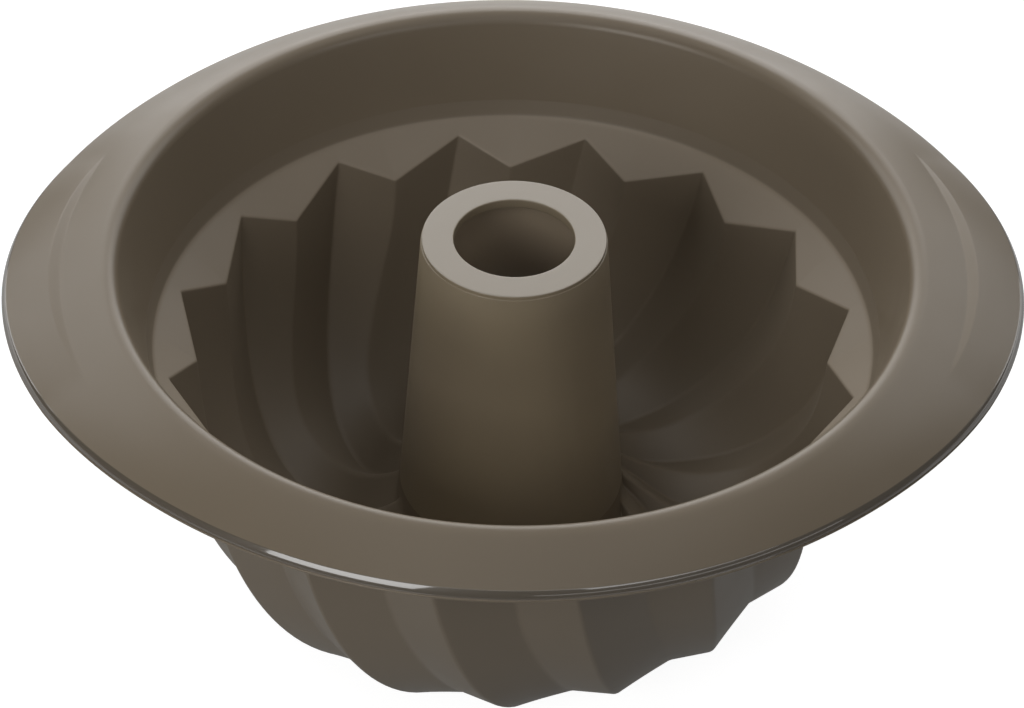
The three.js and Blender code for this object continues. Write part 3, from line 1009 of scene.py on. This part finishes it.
class MakeChimney(bpy.types.Operator):
    """Make the open chimney with its flat top ring"""

    bl_idname = "cake_mould.make_chimney"
    bl_label = "Make Chimney"

    def execute(self, context):
        mould = context.scene.cake_mould
        outline, ring, bore = chimney_outline(mould)
        turns = np.arange(CHIMNEY_STEPS) * math.tau / CHIMNEY_STEPS
        rings = [placed(np.tile(point, (CHIMNEY_STEPS, 1)), turns) for point in outline]
        finish = mould.finish
        # The chimney's lighter main colour is painted light
        material = silicone_material(
            "silicone_chimney",
            finish.chimney,
            finish.body,
            finish.polish,
            finish.chimney_sheen,
            finish.chimney_grain,
        )
        # Painted highlight on the chimney's flat top
        paint_light_and_shade(material, mask_output(material, "ring"), finish.ring)
        # Painted light on the inner wall of the chimney
        paint_light_and_shade(material, mask_output(material, "bore"), finish.bore)
        piece = ring_piece("chimney_skin", rings, material, False)
        for name, rows in (("ring", ring), ("bore", bore)):
            add_mask(piece, name, row_mask((len(outline), CHIMNEY_STEPS), rows))
        finish_piece(piece, "chimney_tube", "chimney_top_ring")
        return {"FINISHED"}


class MakeRim(bpy.types.Operator):
    """Make the collar, the drooping brim and its two grips"""

    bl_idname = "cake_mould.make_rim"
    bl_label = "Make Rim"

    def execute(self, context):
        mould = context.scene.cake_mould
        turns = np.arange(RIM_STEPS) * math.tau / RIM_STEPS
        outlines, polished = zip(*(rim_outline(mould, turn) for turn in turns))
        rows = np.stack(outlines, axis=1)
        rings = [placed(row, turns) for row in rows]
        finish = mould.finish
        material = silicone_material(
            "silicone_rim",
            finish.body,
            finish.cloud,
            finish.polish,
            finish.rim_sheen,
            finish.rim_grain,
        )
        # The edge band's darker tone is painted shade
        polish_and_shade_edge(material, finish.band, finish.edge)
        piece = ring_piece("rim_skin", rings, material, True)
        add_mask(piece, "edge", row_mask(rows.shape[:2], polished[0]))
        finish_piece(piece, "brim", "left_grip", "right_grip", "collar_wall")
        return {"FINISHED"}


# Stage


def bearing(azimuth, elevation):
    """Direction from the middle of the mould; azimuth 0 is the front and 90 the right."""
    return Vector((
        math.sin(azimuth) * math.cos(elevation),
        -math.cos(azimuth) * math.cos(elevation),
        math.sin(elevation),
    ))


def add_lamp(place, strength, target):
    lamp = bpy.data.lights.new(place.name, "AREA")
    lamp.shape = "RECTANGLE"
    lamp.size = place.width
    lamp.size_y = place.height
    lamp.energy = strength
    way = bearing(math.radians(place.azimuth), math.radians(place.elevation))
    holder = bpy.data.objects.new(place.name, lamp)
    holder.location = target + way * LAMP_DISTANCE
    holder.rotation_euler = way.to_track_quat("Z", "Y").to_euler()
    holder.visible_glossy = place.leaves_out != "glossy"
    holder.visible_diffuse = place.leaves_out != "diffuse"
    bpy.context.scene.collection.objects.link(holder)


def add_camera(stage, target):
    camera = bpy.data.cameras.new("camera")
    camera.lens = stage.lens
    camera.sensor_width = SENSOR_WIDTH
    camera.shift_x = stage.shift[0]
    camera.shift_y = stage.shift[1]
    camera.clip_start = CLIP_START
    way = bearing(stage.azimuth, stage.elevation)
    holder = bpy.data.objects.new("camera", camera)
    holder.location = target + way * stage.distance
    turn = way.to_track_quat("Z", "Y") @ Quaternion((0.0, 0.0, 1.0), stage.roll)
    holder.rotation_euler = turn.to_euler()
    bpy.context.scene.collection.objects.link(holder)
    bpy.context.scene.camera = holder


def seen_directly(nodes, link, mirrored):
    """One for rays from the camera or through clear materials, a share for reflected rays."""
    path = nodes.new("ShaderNodeLightPath")
    dimmed = nodes.new("ShaderNodeMath")
    dimmed.operation = "MULTIPLY"
    link(path.outputs["Is Glossy Ray"], dimmed.inputs[0])
    link(mirrored, dimmed.inputs[1])
    total = path.outputs["Is Camera Ray"]
    for other in (dimmed.outputs["Value"], path.outputs["Is Transmission Ray"]):
        either = nodes.new("ShaderNodeMath")
        either.operation = "MAXIMUM"
        link(total, either.inputs[0])
        link(other, either.inputs[1])
        total = either.outputs["Value"]
    return total


def floor_material(stage):
    """Pale floor that looks white to the camera and still takes the shadow of the mould."""
    material = bpy.data.materials.new("pale_floor")
    material.use_nodes = True
    nodes = material.node_tree.nodes
    link = material.node_tree.links.new
    nodes.remove(nodes["Principled BSDF"])
    paint = nodes.new("ShaderNodeBsdfDiffuse")
    paint.inputs["Color"].default_value = (*stage.floor, 1.0)
    faint = nodes.new("ShaderNodeBsdfDiffuse")
    faint.inputs["Color"].default_value = (*[value * FAINT_PAINT for value in stage.floor], 1.0)
    glow = nodes.new("ShaderNodeEmission")
    glow.inputs["Strength"].default_value = stage.glow
    place = nodes.new("ShaderNodeTexCoord")
    depth = nodes.new("ShaderNodeSeparateXYZ")
    mirrored = nodes.new("ShaderNodeMath")
    link(place.outputs["Object"], depth.inputs["Vector"])

    def fade(limits, least, most):
        """Socket that goes from one share to another between two limits of the floor's depth."""
        node = nodes.new("ShaderNodeMapRange")
        node.interpolation_type = "SMOOTHSTEP"
        node.inputs["From Min"].default_value = limits[0]
        node.inputs["From Max"].default_value = limits[1]
        node.inputs["To Min"].default_value = least
        node.inputs["To Max"].default_value = most
        link(depth.outputs["Y"], node.inputs["Value"])
        return node.outputs["Result"]

    # Reflections see the glow dimmed in front of the mould: painted shade
    link(fade(SHADED_FRONT_FADE, stage.mirrored * SHADED_FRONT_SHARE, stage.mirrored), mirrored.inputs[0])
    link(fade(FAR_FADE, 0.0, FAR_SHARE), mirrored.inputs[1])
    both = nodes.new("ShaderNodeAddShader")
    choose = nodes.new("ShaderNodeMixShader")
    link(faint.outputs["BSDF"], both.inputs[0])
    link(glow.outputs["Emission"], both.inputs[1])
    link(seen_directly(nodes, link, mirrored.outputs["Value"]), choose.inputs["Fac"])
    link(paint.outputs["BSDF"], choose.inputs[1])
    link(both.outputs["Shader"], choose.inputs[2])
    link(choose.outputs["Shader"], nodes["Material Output"].inputs["Surface"])
    return material


def even_sky(stage):
    """Even light all round, white where the camera looks past the floor."""
    world = bpy.data.worlds.new("even_sky")
    world.use_nodes = True
    nodes = world.node_tree.nodes
    link = world.node_tree.links.new
    dimmed = nodes.new("ShaderNodeValue")
    dimmed.outputs["Value"].default_value = stage.mirrored_sky
    strength = nodes.new("ShaderNodeMapRange")
    strength.inputs["To Min"].default_value = stage.sky
    link(seen_directly(nodes, link, dimmed.outputs["Value"]), strength.inputs["Value"])
    sky = nodes["Background"]
    sky.inputs["Color"].default_value = (1.0, 1.0, 1.0, 1.0)
    link(strength.outputs["Result"], sky.inputs["Strength"])
    return world


class MakeStage(bpy.types.Operator):
    """Make the floor, the lamps and the camera"""

    bl_idname = "cake_mould.make_stage"
    bl_label = "Make Stage"

    def execute(self, context):
        scene = context.scene
        mould = scene.cake_mould
        stage = mould.stage
        target = Vector((0.0, 0.0, mould.flute.ledge_height))
        add_camera(stage, target)
        for place in LAMPS:
            add_lamp(place, getattr(stage, place.setting), target)
        mesh = bpy.data.meshes.new("floor")
        corners = ((-1, -1), (1, -1), (1, 1), (-1, 1))
        square = [(x * FLOOR_REACH, y * FLOOR_REACH, 0.0) for x, y in corners]
        mesh.from_pydata(square, [], [(0, 1, 2, 3)])
        mesh.materials.append(floor_material(stage))
        floor = bpy.data.objects.new("floor", mesh)
        scene.collection.objects.link(floor)
        scene.world = even_sky(stage)
        scene.view_settings.view_transform = "Standard"
        return {"FINISHED"}


class MouldPanel(bpy.types.Panel):
    """Settings and steps of the mould"""

    bl_idname = "CAKE_MOULD_PT_panel"
    bl_label = "Ring Cake Mould"
    bl_space_type = "VIEW_3D"
    bl_region_type = "UI"
    bl_category = "Mould"

    def draw(self, context):
        mould = context.scene.cake_mould
        layout = self.layout
        for name in ("flute", "chimney", "rim", "finish", "stage"):
            box = layout.box()
            box.label(text=name.capitalize())
            settings = getattr(mould, name)
            for key in settings.bl_rna.properties.keys():
                if key not in {"rna_type", "name"}:
                    box.prop(settings, key)
        for operator in OPERATORS:
            layout.operator(operator.bl_idname)


OPERATORS = (MakeStage, MakeBowl, MakeChimney, MakeRim)
CLASSES = (
    FluteSettings,
    ChimneySettings,
    RimSettings,
    FinishSettings,
    StageSettings,
    MouldSettings,
    *OPERATORS,
    MouldPanel,
)


def register():
    for item in CLASSES:
        bpy.utils.register_class(item)
    bpy.types.Scene.cake_mould = PointerProperty(type=MouldSettings)


def unregister():
    del bpy.types.Scene.cake_mould
    for item in reversed(CLASSES):
        bpy.utils.unregister_class(item)


def main():
    register()
    bpy.ops.cake_mould.make_stage()
    bpy.ops.cake_mould.make_bowl()
    bpy.ops.cake_mould.make_chimney()
    bpy.ops.cake_mould.make_rim()


if __name__ == "__main__":
    main()
